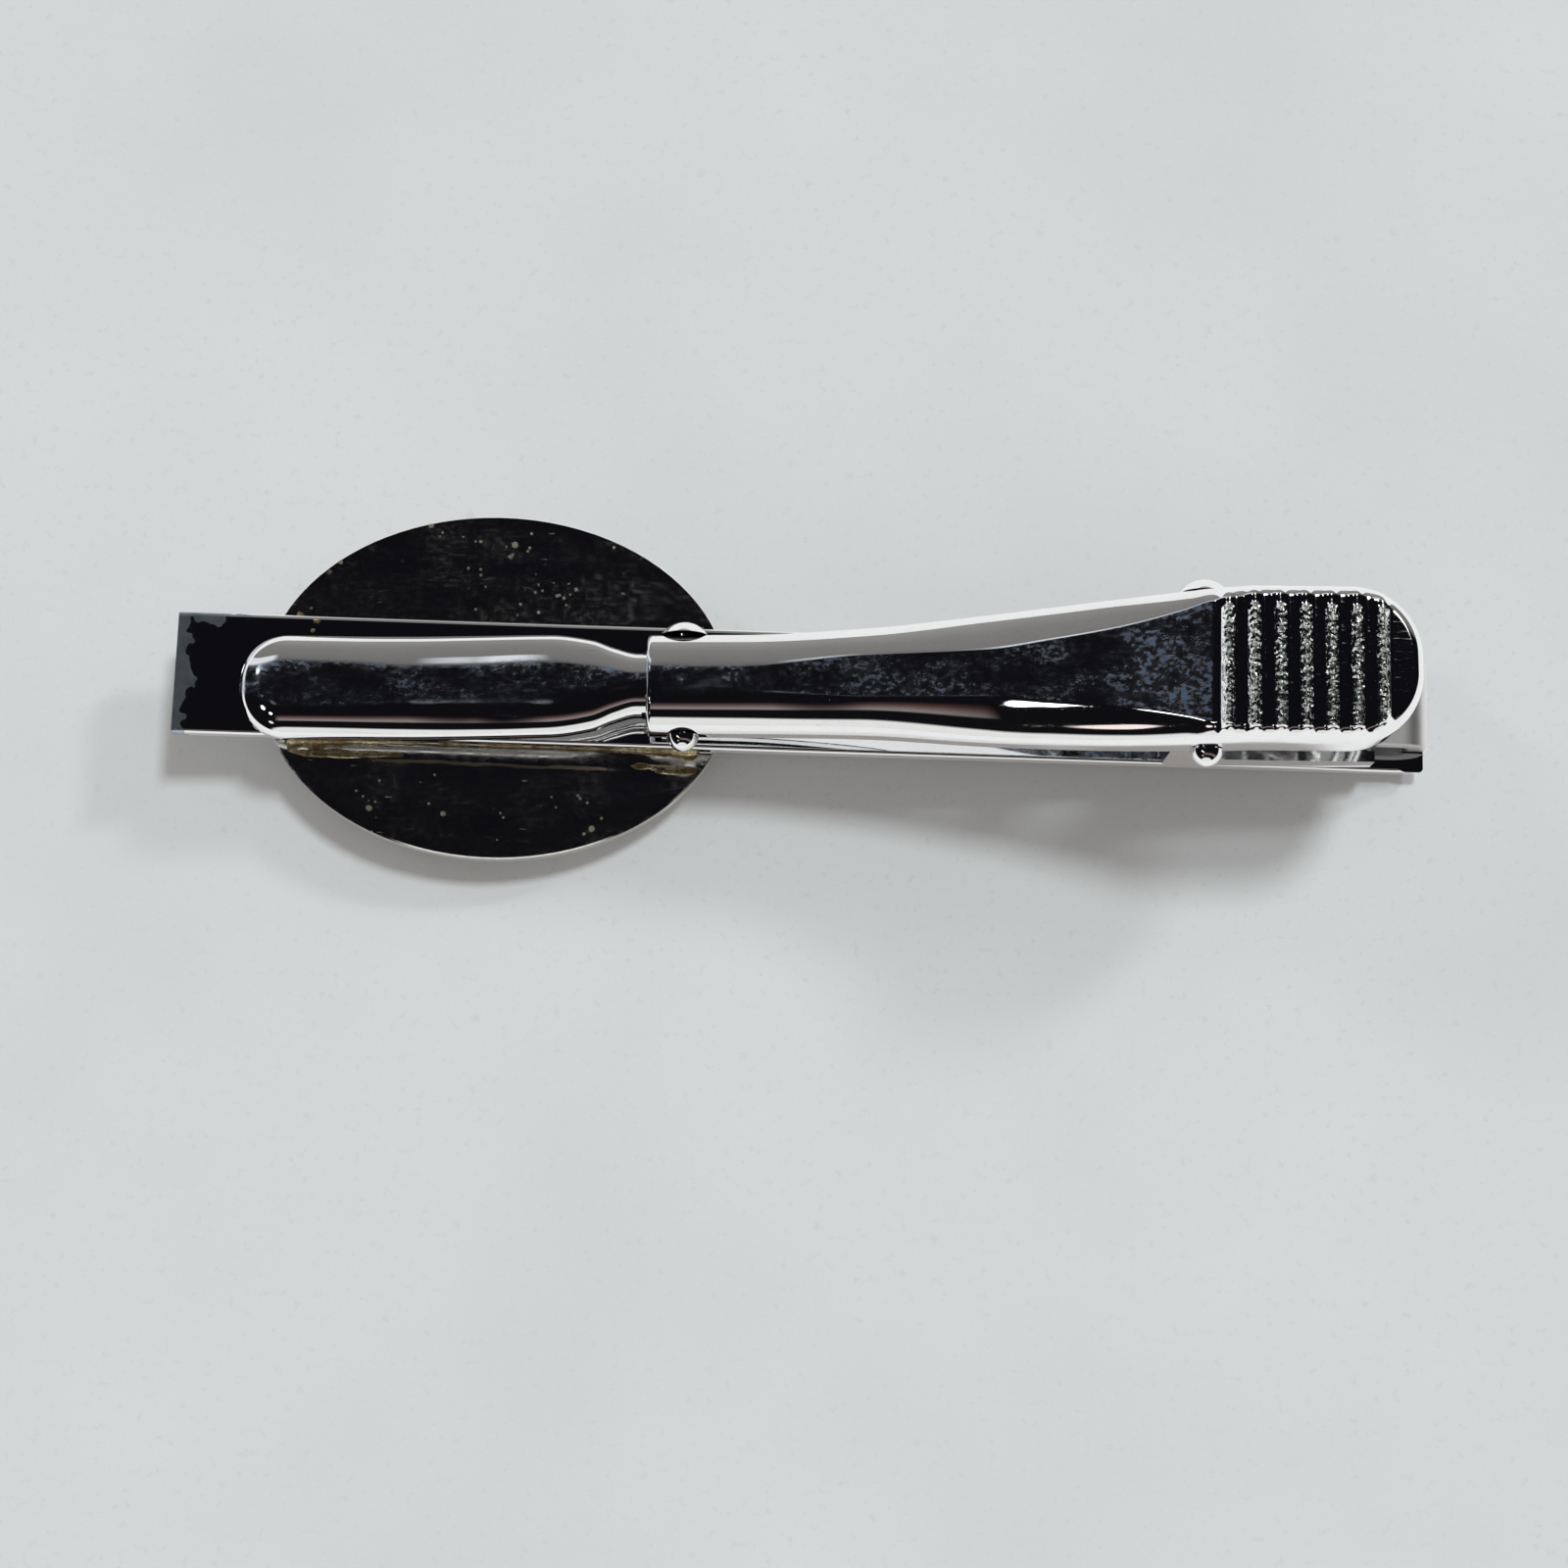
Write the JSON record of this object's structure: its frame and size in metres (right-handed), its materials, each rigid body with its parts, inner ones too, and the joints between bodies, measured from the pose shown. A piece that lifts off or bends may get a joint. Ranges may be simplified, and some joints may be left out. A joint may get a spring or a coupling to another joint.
{
  "type": "tie clip",
  "caption": "Sprung tie clip: a flat strip with an oval plate on its front, and a hinged lever with a ribbed thumb pad that presses a domed tongue onto the strip.",
  "frame": {"origin": "middle of the oval plate's front face", "axes": "+X along the strip from the tongue's tip towards the thumb pad, +Z from the front to the back"},
  "size_m": [0.0556, 0.0156, 0.0113],
  "materials": {
    "chrome_plate": "mirror",
    "spring_steel": "satin",
    "solder": "dull"
  },
  "bodies": {
    "bar": {"front_bar": "chrome_plate", "oval_plate": "chrome_plate", "solder_seams": "solder", "hinge_base": "chrome_plate", "lever_pin": "chrome_plate", "lever_spring": "spring_steel", "spring_rivet": "spring_steel"},
    "lever": {"thumb_lever": "chrome_plate", "tongue_pin": "chrome_plate", "tongue_spring": "spring_steel"},
    "tongue": {"tongue": "chrome_plate"}
  },
  "joints": [
    {"name": "lever_hinge", "type": "hinge", "parent": "bar", "child": "lever", "pos_m": [0.03061, 0, 0.0085], "axis": [-0.0175, 0.9998, 0], "range_deg": [0, 25], "stiffness_Nm_per_rad": 0.002, "springref_deg": -22.92, "deforming": ["lever_spring"]},
    {"name": "tongue_hinge", "type": "hinge", "parent": "lever", "child": "tongue", "pos_m": [0.00841, -0.00039, 0.0043], "axis": [-0.0175, 0.9998, 0], "range_deg": [-10, 0]}
  ],
  "couplings": [
    {"joint": "tongue_hinge", "follows": "lever_hinge", "ratio": -0.4}
  ]
}
